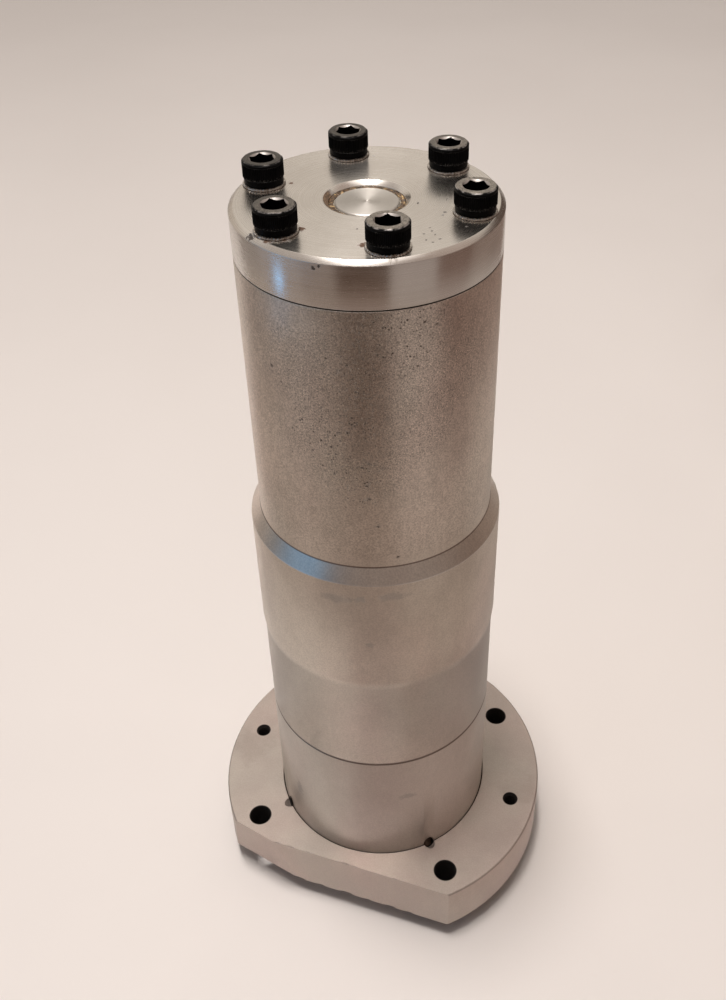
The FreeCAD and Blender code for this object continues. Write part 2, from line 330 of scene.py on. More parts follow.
def notched(shape, depth, radius, low=-1.0, high=1.0):
    """Pulls every second column of a round wall inwards."""
    wall = [vert for vert in shape.verts
            if low < vert.co.z < high and abs(hypot(vert.co.x, vert.co.y) - radius) < MERGE]
    angles = sorted({round(atan2(vert.co.y, vert.co.x), 5) for vert in wall})
    odd = set(angles[::2])
    for vert in wall:
        if round(atan2(vert.co.y, vert.co.x), 5) in odd:
            vert.co.xy *= (radius - depth) / radius
    return shape


def cap_screw(turn):
    """A socket head cap screw, knurled down to a plain collar and turned about itself."""
    collar_high = WASHER_HIGH + COLLAR_H
    knurl_high = SCREW_HIGH - 0.0013
    head = revolved([
        (0, WASHER_HIGH), (COLLAR_R - 0.0002, WASHER_HIGH), (COLLAR_R, WASHER_HIGH + 0.0002),
        (COLLAR_R, collar_high), (HEAD_R, collar_high + 0.0002), (HEAD_R, collar_high + 0.0003),
        (HEAD_R, knurl_high - 0.0002), (HEAD_R, knurl_high),
        (HEAD_R, SCREW_HIGH - HEAD_EDGE), (HEAD_R - HEAD_EDGE, SCREW_HIGH), (0, SCREW_HIGH),
    ], KNURL_STEPS)
    notched(head, KNURL_DEPTH, HEAD_R, collar_high + 0.00025, knurl_high - 0.0001)
    socket = bmesh.new()
    bmesh.ops.create_cone(socket, segments=6, radius1=SOCKET_R, radius2=SOCKET_R, depth=2 * SOCKET_DEPTH,
                          cap_ends=True)
    moved(socket, 0, 0, SCREW_HIGH)
    mouth = revolved([(0, SCREW_HIGH - 0.0008), (SOCKET_MOUTH_R - 0.0008, SCREW_HIGH - 0.0008),
                      (SOCKET_MOUTH_R, SCREW_HIGH), (SOCKET_MOUTH_R, SCREW_HIGH + OVERRUN),
                      (0, SCREW_HIGH + OVERRUN)], 96)
    made = cut(piece("head", head), socket, mouth)
    whole = bmesh.new()
    whole.from_mesh(made.data)
    bpy.data.objects.remove(made)
    thread = thread_outline(SCREW_R, SCREW_R - 0.0009, SCREW_LOW, WASHER_HIGH, SCREW_PITCH)
    shank = revolved([(0, SCREW_LOW)] + thread + [(0, WASHER_HIGH)], 48)
    return moved(joined([whole, shank]), turn)


def cap_screws():
    """Six screws; each one stopped with its key socket at another angle."""
    socket_turns = [41.6, 7.0, 6.6, 35.6, 41.6, 20.6]
    made = []
    for k in range(SCREW_COUNT):
        place = 360 * k / SCREW_COUNT
        screw = piece(f"cap_screw_{k + 1}", moved(cap_screw(socket_turns[k]), place, SCREW_CIRCLE_R))
        axis = Matrix.Rotation(radians(place), 3, "Z") @ Vector((SCREW_CIRCLE_R, 0, 0))
        mark_bare_mouth(screw.data, axis)
        made.append(screw)
    return made


def mark_bare_mouth(mesh, axis):
    """Notes on the faces of a key socket's flared mouth that they are bare."""
    bare = mesh.attributes.new("bare", "FLOAT", "FACE")
    for face, mark in zip(mesh.polygons, bare.data):
        away = hypot(face.center.x - axis.x, face.center.y - axis.y)
        mark.value = float(away < SOCKET_MOUTH_R and 0.2 < face.normal.z < 0.95)


def lock_washer():
    """A safety washer with radial ribs on both faces, which show as small teeth at its rim."""
    low, high = WASHER_LOW, WASHER_HIGH
    rib = 0.00022
    ring = revolved([
        (WASHER_BORE_R, low), (WASHER_R - 0.0016, low), (WASHER_R - 0.0001, low + 0.0001),
        (WASHER_R, low + 0.0003), (WASHER_R, high - 0.0003), (WASHER_R - 0.0001, high - 0.0001),
        (WASHER_R - 0.0016, high), (WASHER_BORE_R, high),
    ], 4 * WASHER_RIBS)
    for vert in ring.verts:
        out = hypot(vert.co.x, vert.co.y)
        tooth = round(atan2(vert.co.y, vert.co.x) / (2 * pi) * 4 * WASHER_RIBS) % 4 in (0, 1)
        if tooth and out > WASHER_R - 0.0005:
            upper = vert.co.z > (low + high) / 2
            vert.co.z += -rib if upper else rib
            vert.co.xy *= (out - 0.4 * rib) / out
    bmesh.ops.recalc_face_normals(ring, faces=ring.faces)
    return ring


def lock_washers():
    return [piece(f"lock_washer_{k + 1}", moved(lock_washer(), 360 * k / SCREW_COUNT, SCREW_CIRCLE_R))
            for k in range(SCREW_COUNT)]


def barrel():
    tube = revolved([
        (BORE_R, BARREL_LOW), (BARREL_THREAD_R, BARREL_LOW), (BARREL_THREAD_R, SLEEVE_HIGH),
        (LOWER_R - JOINT_EDGE, SLEEVE_HIGH), (LOWER_R, SLEEVE_HIGH + JOINT_EDGE), (LOWER_R, LOWER_HIGH),
        (TAPER_R, LOWER_HIGH), (LAND_R, TAPER_HIGH), (LAND_R, LAND_HIGH), (UPPER_R, CONE_HIGH),
        (UPPER_R, BARREL_HIGH - JOINT_EDGE), (UPPER_R - JOINT_EDGE, BARREL_HIGH), (BORE_R, BARREL_HIGH),
    ])
    made = piece("barrel_turned", rounded(tube, 0.0001))
    tapped = around(lambda: drill(TAPPED_R, BARREL_HIGH - TAPPED_DEPTH, BARREL_HIGH, steps=48),
                    SCREW_COUNT, SCREW_CIRCLE_R)
    return cut(made, tapped)


def base_sleeve():
    lip_high = NOSE_LOW + LIP_T
    inner = BARREL_THREAD_R + FIT
    tube = revolved([
        (LIP_R, NOSE_LOW), (NOSE_R - 0.0015, NOSE_LOW), (NOSE_R, NOSE_LOW + 0.0015), (NOSE_R, FLANGE_LOW),
        (FLANGE_THREAD_R, FLANGE_LOW), (FLANGE_THREAD_R, -THREAD_RELIEF), (LOWER_R, -THREAD_RELIEF),
        (LOWER_R, SLEEVE_HIGH - JOINT_EDGE), (LOWER_R - JOINT_EDGE, SLEEVE_HIGH), (inner, SLEEVE_HIGH),
        (inner, lip_high), (LIP_R, lip_high),
    ])
    made = piece("base_sleeve_turned", rounded(tube, 0.0001))
    return cut(made, pin_holes())


def pin_drill(radius, start, depth):
    """A drill on a lock pin's slanted line through the corner, at the first bolt hole's angle."""
    shape = revolved([(0, -depth), (radius, -depth), (radius, start), (0, start)], 48)
    return moved(turned(shape, PIN_LEAN, "Y"), 0, LOWER_R)


def pin_holes():
    return around(lambda: pin_drill(PIN_HOLE_R, 0.006, PIN_HOLE_DEPTH), BOLT_COUNT, 0, BOLT_TURN)


def lock_pins():
    def pin():
        return rounded(pin_drill(PIN_HOLE_R - 0.00003, PIN_L - PIN_HOLE_DEPTH, PIN_HOLE_DEPTH), 0.0004, 3)

    return [piece(f"lock_pin_{k + 1}", moved(pin(), BOLT_TURN + 360 * k / BOLT_COUNT))
            for k in range(BOLT_COUNT)]


def flange():
    bore = FLANGE_THREAD_R + FIT
    disc = revolved([
        (bore, FLANGE_LOW), (FLANGE_R - FLANGE_EDGE, FLANGE_LOW), (FLANGE_R, FLANGE_LOW + FLANGE_EDGE),
        (FLANGE_R, -FLANGE_EDGE), (FLANGE_R - FLANGE_EDGE, 0), (bore + FLANGE_BORE_EDGE, 0),
        (bore, -FLANGE_BORE_EDGE),
    ])
    for leaning, offset in zip(flat_directions(), (-FLAT_Y, RELIEF_OFFSET)):
        level_part = Vector((leaning.x, leaning.y, 0)).normalized()
        whole = disc.verts[:] + disc.edges[:] + disc.faces[:]
        sawn = bmesh.ops.bisect_plane(disc, geom=whole, plane_co=level_part * offset, plane_no=leaning,
                                      clear_outer=True)
        rim = [item for item in sawn["geom_cut"] if isinstance(item, bmesh.types.BMEdge)]
        bmesh.ops.contextual_create(disc, geom=rim)
    bmesh.ops.recalc_face_normals(disc, faces=disc.faces)
    made = piece("flange_machined", rounded(disc, 0.0003))
    bolts = around(lambda: drill(BOLT_HOLE_R, FLANGE_LOW - OVERRUN, 0, 0.0003), BOLT_COUNT, BOLT_R, BOLT_TURN)
    jacks = around(jack_tap, 2, BOLT_R)
    return cut(made, bolts, jacks, pin_holes(), edge_nicks())


def edge_nicks():
    """Small knocks along the flat's two long edges, as lumps to take away: (x, size) in millimetres."""
    upper = [(-39.5, 1.6), (-33, 1.1), (-26.2, 1.3), (-17.5, 0.9), (1.5, 1.4), (6.2, 1), (26, 0.9)]
    lower = [(-36, 1.5), (-23.5, 2), (-12, 1.3), (1, 2.2), (12, 1.1), (23.5, 1.8), (33, 1.2)]
    lumps = []
    for z, nicks in ((0, upper), (FLANGE_LOW, lower)):
        for x, size in nicks:
            lump = bmesh.new()
            bmesh.ops.create_icosphere(lump, subdivisions=2, radius=size / 1000)
            bmesh.ops.scale(lump, vec=(1.7, 0.42, 0.55), verts=lump.verts)
            bmesh.ops.translate(lump, verts=lump.verts, vec=(x / 1000, FLAT_Y, z))
            lumps.append(lump)
    return joined(lumps)


def jack_tap():
    """The cutter of a threaded jack-screw hole."""
    thread = thread_outline(JACK_HOLE_R - 0.0004, JACK_HOLE_R, FLANGE_LOW - OVERRUN, 0, FINE_PITCH)
    top = thread[-1][1]
    mouth_r = JACK_HOLE_R + 0.0003
    return revolved([(0, FLANGE_LOW - OVERRUN)] + thread + [
        (JACK_HOLE_R, max(top, -0.0006)), (mouth_r, 0), (mouth_r, OVERRUN), (0, OVERRUN)], 64)


def base_head():
    seal = HEAD_SEAL_R
    spigot = BORE_R - FIT
    lip_high = NOSE_LOW + LIP_T
    body = revolved([
        (0, HEAD_LOW), (HEAD_LIP_R, HEAD_LOW), (HEAD_LIP_R, lip_high), (HEAD_THREAD_R, lip_high),
        (HEAD_THREAD_R, BARREL_LOW), (spigot, BARREL_LOW), (spigot, HEAD_GROOVE_LOW), (seal, HEAD_GROOVE_LOW),
        (seal, HEAD_GROOVE_HIGH), (spigot, HEAD_GROOVE_HIGH), (spigot, HEAD_HIGH), (0, HEAD_HIGH),
    ])
    made = piece("base_head_turned", rounded(body, 0.0002))
    below = HEAD_LOW - OVERRUN
    face_high = HEAD_LOW + PORT_FACE_DEPTH
    thread = thread_outline(PORT_R - 0.0005, PORT_R, face_high, HEAD_LOW + PORT_DEPTH, FINE_PITCH)
    port = revolved([(0, below), (PORT_FACE_R, below), (PORT_FACE_R, face_high)] + thread
                    + [(0, thread[-1][1])], 96)
    above = HEAD_HIGH + OVERRUN
    passage = revolved([(0, HEAD_LOW), (PASSAGE_R, HEAD_LOW), (PASSAGE_R, above), (0, above)], 48)
    return cut(made, port, passage)


def plunger_rod():
    rod = revolved([
        (0, ROD_LOW), (SHANK_R, ROD_LOW), (SHANK_R, SHANK_HIGH), (SHOULDER_R, SHANK_HIGH),
        (SHOULDER_R, SHOULDER_HIGH), (ROD_R, SHOULDER_HIGH), (ROD_R, ROD_HIGH - ROD_EDGE),
        (ROD_R - ROD_EDGE, ROD_HIGH), (0.0006, ROD_HIGH), (0, ROD_HIGH - 0.0004),
    ], 192)
    return piece("plunger_rod_turned", rounded(rod, 0.0001))


def wiper_ring():
    inner = ROD_R + FIT
    lip = 0.0009
    ring = revolved([
        (inner + lip, WIPER_LOW), (WIPER_R, WIPER_LOW), (WIPER_R, WIPER_HIGH - lip), (inner, WIPER_HIGH),
        (inner, WIPER_HIGH - lip),
    ], 128)
    return piece("wiper_ring_moulded", rounded(ring, 0.0001))


def old_grease():
    """Dried grease and rust in the cap's mouth: thick at two sides, thin in front and behind."""
    inner = ROD_R + 0.0002
    outer = WIPER_ROOM_R - 0.00002
    low = WIPER_HIGH - 0.0008
    ring = revolved([
        (inner, low), (outer, low), (outer, WIPER_HIGH - 0.0002), (outer - 0.0002, WIPER_HIGH + 0.0003),
        (0.5 * (inner + outer), WIPER_HIGH + 0.0004), (inner + 0.0001, WIPER_HIGH + 0.0002),
    ], 240)
    for vert in ring.verts:
        if vert.co.z > WIPER_HIGH - 0.0003:
            angle = atan2(vert.co.y, vert.co.x)
            heap = 0.5 + 0.5 * cos(2 * (angle - radians(20)))
            lumps = wrinkle.noise(vert.co * 900) + 0.5 * wrinkle.noise(vert.co * 2300)
            vert.co.z += 0.0004 * heap - 0.0003 + 0.00035 * lumps
    return piece("old_grease", ring)


# Shader building. A node goes into the tree of the sockets that feed it.

def shader_node(near, kind, **settings):
    """A node of a kind with its settings, in the tree of another node or socket."""
    made = near.id_data.nodes.new("ShaderNode" + kind)
    for name, value in settings.items():
        setattr(made, name, value)
    return made


def feed(socket, value):
    """Links a socket to an output, or sets it to a plain value."""
    if isinstance(value, bpy.types.NodeSocket):
        socket.id_data.links.new(value, socket)
    else:
        socket.default_value = value


def set_inputs(made, **values):
    """Feeds a node's sockets, named with underscores for spaces."""
    for name, value in values.items():
        feed(made.inputs[name.replace("_", " ")], value)


def first_socket(*values):
    """The first of several values that comes from a node."""
    return next(value for value in values if isinstance(value, bpy.types.NodeSocket))


def placed(kind, *values, near=None, **settings):
    """The outputs of a node that is fed with values in the order of its inputs."""
    made = shader_node(first_socket(near, *values), kind, **settings)
    for socket, value in zip(made.inputs, values):
        feed(socket, value)
    return made.outputs


def calculate(kind, *values, near=None, clamp=False):
    """The result of a math node."""
    return placed("Math", *values, near=near, operation=kind, use_clamp=clamp)[0]


plus = partial(calculate, "ADD")
minus = partial(calculate, "SUBTRACT")
times = partial(calculate, "MULTIPLY")
times_plus = partial(calculate, "MULTIPLY_ADD")
most = partial(calculate, "MAXIMUM")


def apart(first, second):
    """How far two values are apart."""
    return calculate("ABSOLUTE", minus(first, second))


def weighted(*pairs):
    """The sum of several values, each times a weight of its own."""
    *others, total = [times(value, weight) for value, weight in pairs]
    for value in reversed(others):
        total = plus(value, total)
    return total


def strongest(shares):
    """The greatest of several shares, or nothing where there are none."""
    total = shares[0] if shares else 0.0
    for share in shares[1:]:
        total = most(total, share)
    return total


def spread(value, low, high, to_low=0.0, to_high=1.0):
    """Maps a value from one range to another, smoothly and within its ends."""
    return placed("MapRange", value, low, high, to_low, to_high,
                  interpolation_type="SMOOTHSTEP", clamp=True)[0]


def scaled(vector, factors):
    """A vector whose parts are multiplied by factors."""
    return placed("VectorMath", vector, factors, operation="MULTIPLY")[0]


def parts_of(vector):
    """A vector's three parts."""
    return placed("SeparateXYZ", vector)


def length_of(vector):
    return placed("VectorMath", vector, operation="LENGTH")["Value"]


def axis_distance(place):
    """How far a place is from the tube's axis."""
    return length_of(scaled(place, (1.0, 1.0, 0.0)))


def opaque(colour):
    return (*colour, 1.0) if isinstance(colour, tuple) and len(colour) == 3 else colour


def blended(share, low, high, mode="MIX"):
    """A colour between two, by a share."""
    made = shader_node(first_socket(share, low, high), "Mix", data_type="RGBA", blend_type=mode)
    feed(made.inputs["Factor"], share)
    colours = [socket for socket in made.inputs if socket.type == "RGBA"]
    feed(colours[0], opaque(low))
    feed(colours[1], opaque(high))
    return [socket for socket in made.outputs if socket.type == "RGBA"][0]


def toned(value, start, end, low, high):
    """A colour that goes from one to another while a value goes from its start to its end."""
    return blended(spread(value, start, end), low, high)


def covered(colour, share, strength, over):
    """A colour with another over it, by a share of a strength."""
    return blended(times(share, strength, near=colour), colour, over)


def shaded(colour, level):
    """A colour made lighter or darker by a value."""
    return blended(1.0, colour, placed("CombineColor", level, level, level)[0], "MULTIPLY")


def cloud(place, scale, detail=2.0, roughness=0.5):
    """Soft random patches."""
    made = shader_node(place, "TexNoise", noise_dimensions="3D")
    set_inputs(made, Vector=place, Scale=scale, Detail=detail, Roughness=roughness)
    return made.outputs[0]


ROUND = (1.0, 1.0, 1.0)
FLOAT = "NodeSocketFloat"
VECTOR = "NodeSocketVector"


def group(name, inputs, output):
    """An empty node group with named inputs and one output, its inputs' sockets and the output's."""
    made = bpy.data.node_groups.new(name, "ShaderNodeTree")
    for label, kind, value in inputs:
        socket = made.interface.new_socket(label, in_out="INPUT", socket_type=kind)
        if value is not None:
            socket.default_value = value
    made.interface.new_socket(output, in_out="OUTPUT", socket_type=FLOAT)
    given, result = made.nodes.new("NodeGroupInput"), made.nodes.new("NodeGroupOutput")
    return made, given.outputs[:len(inputs)], result.inputs[0]


def use(shared, **values):
    """Places a shared group in a material, gives its inputs their values and returns its result."""
    made = shader_node(values["Place"], "Group", node_tree=shared)
    set_inputs(made, **values)
    return made.outputs[0]


def turning_marks():
    """Fine rings left by a turning tool, on walls and faces alike."""
    made, (place, fineness), result = group(
        "turning_marks", [("Place", VECTOR, None), ("Fineness", FLOAT, 4000.0)], "Marks")
    x, y, z = parts_of(place)
    radius = calculate("SQRT", plus(times(x, x), times(y, y)))
    rings = placed("CombineXYZ", *[times(value, fineness) for value in (radius, z, times(x, 0.004))])
    feed(result, cloud(rings[0], 1.0, 3.0, 0.6))
    return made


def pitting():
    """Small round pits that gather in patches."""
    made, (place, density, patch_scale, start, size), result = group("pitting", [
        ("Place", VECTOR, None), ("Density", FLOAT, 400.0), ("Patch scale", FLOAT, 25.0),
        ("Patch start", FLOAT, 0.5), ("Size", FLOAT, 0.3)], "Pits")
    cells = shader_node(place, "TexVoronoi", feature="F1")
    set_inputs(cells, Vector=place, Scale=density)
    tone = placed("SeparateColor", cells.outputs["Color"])[0]
    own = times(calculate("POWER", tone, 2.0), size)
    dark = spread(minus(own, cells.outputs["Distance"]), 0.0, 0.08)
    gathered = spread(cloud(place, patch_scale), start, plus(start, 0.12))
    feed(result, times(dark, gathered))
    return made


def ragged_spot():
    """A stain with an uneven rim round a place."""
    made, (place, centre, stretch, radius, raggedness), result = group("ragged_spot", [
        ("Place", VECTOR, None), ("Centre", VECTOR, None), ("Stretch", VECTOR, ROUND),
        ("Radius", FLOAT, 0.002), ("Raggedness", FLOAT, 0.6)], "Stain")
    away = placed("VectorMath", place, centre, operation="SUBTRACT")[0]
    length = length_of(scaled(away, stretch))
    reach = calculate("DIVIDE", length, radius)
    fineness = calculate("DIVIDE", 1.6, radius)
    rag = minus(cloud(place, fineness, 3.0, 0.7), 0.5)
    edge = times_plus(rag, times(raggedness, 3.0), reach)
    feed(result, spread(edge, 1.0, 0.35))
    return made


MARKS = turning_marks()
PITS = pitting()
SPOT = ragged_spot()


def material(name):
    """A material with its shader and the object's own coordinates."""
    made = bpy.data.materials.new(name)
    made.use_nodes = True
    shader = made.node_tree.nodes["Principled BSDF"]
    return made, shader, shader_node(shader, "TexCoord").outputs["Object"]


def bump(shader, height, distance):
    """Raises a surface by a height times a distance."""
    made = shader_node(shader, "Bump")
    set_inputs(made, Height=height, Distance=distance)
    set_inputs(shader, Normal=made.outputs[0])


def turned_gloss(shader, amount):
    """A gloss drawn out across the rings of a turned face."""
    tangent = shader_node(shader, "Tangent", direction_type="RADIAL", axis="Z")
    set_inputs(shader, Anisotropic=amount, Anisotropic_Rotation=0.25, Tangent=tangent.outputs[0])


def stains(place, spots, raggedness=0.6):
    """The strongest of several ragged spots, in millimetres: (x, y, z, radius), and a stretch or none."""
    return strongest([
        use(SPOT, Place=place, Centre=(x / 1000, y / 1000, z / 1000), Radius=radius / 1000,
            Stretch=stretch[0] if stretch else ROUND, Raggedness=raggedness)
        for x, y, z, radius, *stretch in spots])


RUST_BROWN = (0.085, 0.035, 0.011)
PIT_BROWN = (0.055, 0.038, 0.026)
# Black for dark joints, and for painted shade in the sleeve's undercut and inside holes
JOINT_AND_SHADE_BLACK = (0.006, 0.005, 0.005)
TOP_MM = 1000 * CAP_HIGH


def cap_steel():
    """Bright turned steel, with rust spots by the screws and a few pits."""
    made, shader, place = material("cap_steel")
    marks = use(MARKS, Place=place, Fineness=5200.0)
    broad = use(MARKS, Place=place, Fineness=700.0)
    haze = cloud(place, 45.0, 4.0, 0.6)
    grain = cloud(place, 2600.0, 2.0, 0.6)
    tone = weighted((marks, 0.5), (haze, 0.5))
    steel = toned(tone, 0.3, 0.7, (0.585, 0.55, 0.51), (0.7, 0.665, 0.625))
    pits = use(PITS, Place=place, Density=420.0, Patch_scale=60.0, Patch_start=0.64, Size=0.42)
    dots = stains(place, [
        (28.4, -17.8, TOP_MM, 0.6), (32.5, -22.4, TOP_MM, 0.6),
        (28.5, -24.4, TOP_MM, 0.5), (26.6, -20.6, TOP_MM, 0.5),
        (30.1, -19.8, TOP_MM, 0.6, (1.6, 0.8, 1.0)), (30.9, -25.2, TOP_MM, 0.5),
        (27.1, -15.8, TOP_MM, 0.4), (17.8, 0.8, TOP_MM, 1, (2.0, 0.8, 1.0)),
        (26.1, 6.7, TOP_MM, 0.9, (3.0, 0.7, 1.0)), (5.2, -23.7, TOP_MM, 0.6),
        (-0.7, -46.8, 305.7, 1), (1.2, -46.8, 306.6, 0.8),
        (-25.4, -38.3, TOP_MM - 0.6, 2.3, (1.0, 1.0, 1.6)),
    ], 0.9)
    rust = stains(place, [
        (11, -33.6, TOP_MM, 2.6), (-14.3, -38, TOP_MM, 2.6, (1.0, 1.8, 1.0)),
        (-18.5, -40, TOP_MM, 2.2), (-11.9, -29.1, TOP_MM, 2),
        (-29, 3, TOP_MM, 1.2), (34.5, 7, TOP_MM, 1.2),
    ])
    dark = most(dots, pits)
    in_mouth = spread(axis_distance(place), MOUTH_R + 0.0001, MOUTH_R - 0.0002)
    greasy = times(stains(place, [(-14, -5, 308.1, 12)]), in_mouth)
    colour = covered(steel, dark, 0.92, (0.028, 0.018, 0.012))
    flakes = spread(cloud(place, 1500.0, 2.0, 0.6), 0.4, 0.62)
    crust = blended(flakes, (0.055, 0.03, 0.015), (0.21, 0.13, 0.075))
    colour = covered(colour, greasy, 0.95, crust)
    colour = covered(colour, rust, 0.92, RUST_BROWN)
    joint = bands(place, [(BARREL_HIGH, 0.0003)])
    colour = covered(colour, joint, 0.95, JOINT_AND_SHADE_BLACK)
    worn = most(most(dark, rust), most(greasy, joint))
    rough = times_plus(marks, 0.1, times_plus(haze, 0.1, 0.17))
    set_inputs(shader, Base_Color=colour, Metallic=minus(1.0, times(worn, 0.97)),
               Roughness=times_plus(worn, 0.4, rough), Specular_IOR_Level=0.08)
    turned_gloss(shader, 0.6)
    height = times_plus(grain, 0.15, weighted((marks, 0.5), (broad, 0.5)))
    bump(shader, minus(height, times(worn, 4.0)), 0.0000035)
    return made


def ground_tone(place, light, dark):
    """Ground steel's brown and green-grey blotches; also gives how strong they are."""
    blotch = cloud(scaled(place, (1.0, 1.0, 0.6)), 26.0, 4.0, 0.55)
    tint = cloud(scaled(place, (1.0, 1.0, 0.5)), 17.0, 3.0, 0.5)
    steel = toned(blotch, 0.32, 0.68, dark, light)
    warm = toned(tint, 0.35, 0.65, (0.97, 0.965, 0.925), (1.0, 0.93, 0.9))
    return blended(1.0, steel, warm, "MULTIPLY"), blotch


def speckled(place, steel, grain, mottle, above_cone):
    """Steel with fine light and dark specks, half as strong below the cone."""
    patches = cloud(place, 210.0, 4.0, 0.65)
    streaks = cloud(scaled(place, (1.0, 1.0, 0.25)), 700.0, 3.0, 0.6)
    uneven = weighted((grain, 0.72), (patches, 0.14), (streaks, 0.14))
    speck = times(spread(uneven, 0.36, 0.64, -mottle, 0.45 * mottle),
                  spread(above_cone, 0.0, 1.0, 0.5, 1.0))
    return shaded(steel, plus(speck, 1.0))


def painted_side_light_and_dull_base(place, steel, sides, dull_below):
    """Steel whose upright faces are scaled by a painted light factor, and which is duller below a level."""
    facing = parts_of(shader_node(place, "NewGeometry").outputs["True Normal"])[2]
    # Painted light: upright faces are multiplied by sides, for how the light falls on them.
    upright = spread(calculate("ABSOLUTE", facing), 0.75, 0.4, 1.0, sides)
    height = parts_of(place)[2]
    dull = spread(height, dull_below, dull_below + 0.005, 0.74, 1.0)
    return shaded(shaded(steel, upright), dull), height


def ground_steel(name, light, dark, roughness, spots, clusters=(), dots=(), pit_patches=(), oxide=0.0,
                 joint_grime_and_shade_bands=(), rusty=(), worn_edges=(), holes=(), dull_below=-1.0, mottle=0.28, sides=1.0,
                 smudge_share=0.3):
    """Matt ground steel with blotches, fine specks and grit, and with what age and use left on it.

    Spots are smudges, clusters gather fine dark grit, dots are single pits, and pit patches are
    places where pits gather. Rusty and worn lines are bands, grimy lines are black bands of dark joint
    and painted shade, holes are painted black inside as shade, and oxide is the share of a grey oxide
    that covers all of it. Sides is a painted light that scales the shade of upright faces.
    """
    made, shader, place = material(name)
    grain = cloud(place, 1500.0, 3.0, 0.65)
    marks = use(MARKS, Place=place, Fineness=3000.0)
    steel, blotch = ground_tone(place, light, dark)
    steel, height = painted_side_light_and_dull_base(place, steel, sides, dull_below)
    above_cone = spread(height, CONE_HIGH - 0.002, CONE_HIGH + 0.01)
    steel = speckled(place, steel, grain, mottle, above_cone)
    gathered = stains(place, clusters)
    grit = spread(cloud(place, 4200.0, 1.0, 0.5), 0.4, 0.6, -0.3, 0.3)
    steel = shaded(steel, times_plus(times(grit, gathered), 1.0, 1.0))
    fine = times(spread(cloud(place, 2100.0, 2.0, 0.5), 0.54, 0.64), gathered)
    pits = use(PITS, Place=place, Density=1150.0, Patch_scale=260.0, Patch_start=0.42, Size=0.55)
    pits = times(times(pits, above_cone), stains(place, pit_patches))
    pits = most(pits, stains(place, dots, 0.95))
    smudge = stains(place, spots)
    dark_share = most(times(pits, 0.9), times(fine, 0.55))
    colour = blended(dark_share, steel, PIT_BROWN)
    colour = covered(colour, smudge, smudge_share, (0.11, 0.075, 0.055))
    colour = covered(colour, bands(place, worn_edges), 0.5, (0.85, 0.83, 0.8))
    colour = covered(colour, bands(place, rusty), 0.7, (0.12, 0.075, 0.058))
    # Black lines and hole insides: a dark joint under the cap, and painted shade in the sleeve's undercut
    # under the flange face and inside the flange's holes. The worn share below takes this painted shade in
    # too.
    grime_and_painted_shade = most(bands(place, joint_grime_and_shade_bands), painted_hole_shade(place, holes))
    colour = covered(colour, grime_and_painted_shade, 0.96, JOINT_AND_SHADE_BLACK)
    worn = most(most(dark_share, times(smudge, 0.5)), grime_and_painted_shade)
    worn = most(times(worn, 0.85), oxide)
    rough = times_plus(blotch, 0.12, times_plus(grain, 0.1, roughness))
    set_inputs(shader, Base_Color=colour, Metallic=minus(1.0, worn), Specular_IOR_Level=0.2,
               Roughness=times_plus(grime_and_painted_shade, 0.5, rough, clamp=True))
    height = weighted((marks, 0.35), (grain, 0.7))
    bump(shader, minus(height, times(pits, 3.0)), 0.000006)
    return made


def bands(place, levels):
    """The strongest of several thin lines round the tube: (z, half width)."""
    height = parts_of(place)[2]
    return strongest([spread(apart(height, level), reach, 0.5 * reach) for level, reach in levels])


def painted_hole_shade(place, holes):
    """Painted shade inside upright holes that lie alike in the four quarters: (x, y, radius) of the first."""
    quarter = [calculate("ABSOLUTE", part) for part in parts_of(place)[:2]]
    inside = []
    for x, y, radius in holes:
        across = [calculate("POWER", minus(value, centre), 2.0)
                  for value, centre in zip(quarter, (x, y))]
        away = calculate("SQRT", plus(*across))
        inside.append(spread(away, radius + 0.0006, radius + 0.0002))
    return strongest(inside)


def black_oxide():
    """Oiled black oxide: the heads' tops rubbed grey, more so at the front right, rims bare in places."""
    made, shader, place = material("black_oxide")
    haze = cloud(place, 520.0, 4.0, 0.65)
    grain = cloud(place, 2600.0, 2.0, 0.6)
    x, y, level = parts_of(place)
    handled = minus(times(x, 0.93), times(y, 0.35))
    handled = spread(handled, -0.03, 0.034, 0.3, 1.0)
    top = spread(level, SCREW_HIGH - 0.3 * HEAD_EDGE, SCREW_HIGH - 0.05 * HEAD_EDGE)
    rubbed = times(top, spread(haze, 0.35, 0.6, 0.65, 1.0))
    bare = shader_node(place, "Attribute", attribute_name="bare").outputs["Fac"]
    rim = spread(apart(level, SCREW_HIGH - 0.35 * HEAD_EDGE), 0.00022, 0.00005)
    rim = times(rim, spread(haze, 0.42, 0.62))
    knurl = spread(apart(level, WASHER_HIGH + COLLAR_H + 0.0004), 0.0008, 0.0001)
    knurl = times(knurl, spread(grain, 0.54, 0.64))
    side = toned(haze, 0.45, 0.75, (0.0012, 0.0011, 0.0012), (0.004, 0.0034, 0.0034))
    side = covered(side, knurl, 0.8, (0.12, 0.11, 0.1))
    grey = toned(grain, 0.35, 0.65, (0.16, 0.145, 0.13), (0.38, 0.345, 0.3))
    grey = shaded(grey, handled)
    colour = blended(rubbed, side, grey)
    rim = most(times(rim, handled), bare)
    colour = covered(colour, rim, 0.8, (0.52, 0.485, 0.46))
    set_inputs(shader, Base_Color=colour, Metallic=most(rubbed, rim), Specular_IOR_Level=0.06,
               Roughness=times_plus(haze, 0.25, 0.28))
    bump(shader, plus(grain, times(haze, 1.5)), 0.00002)
    return made


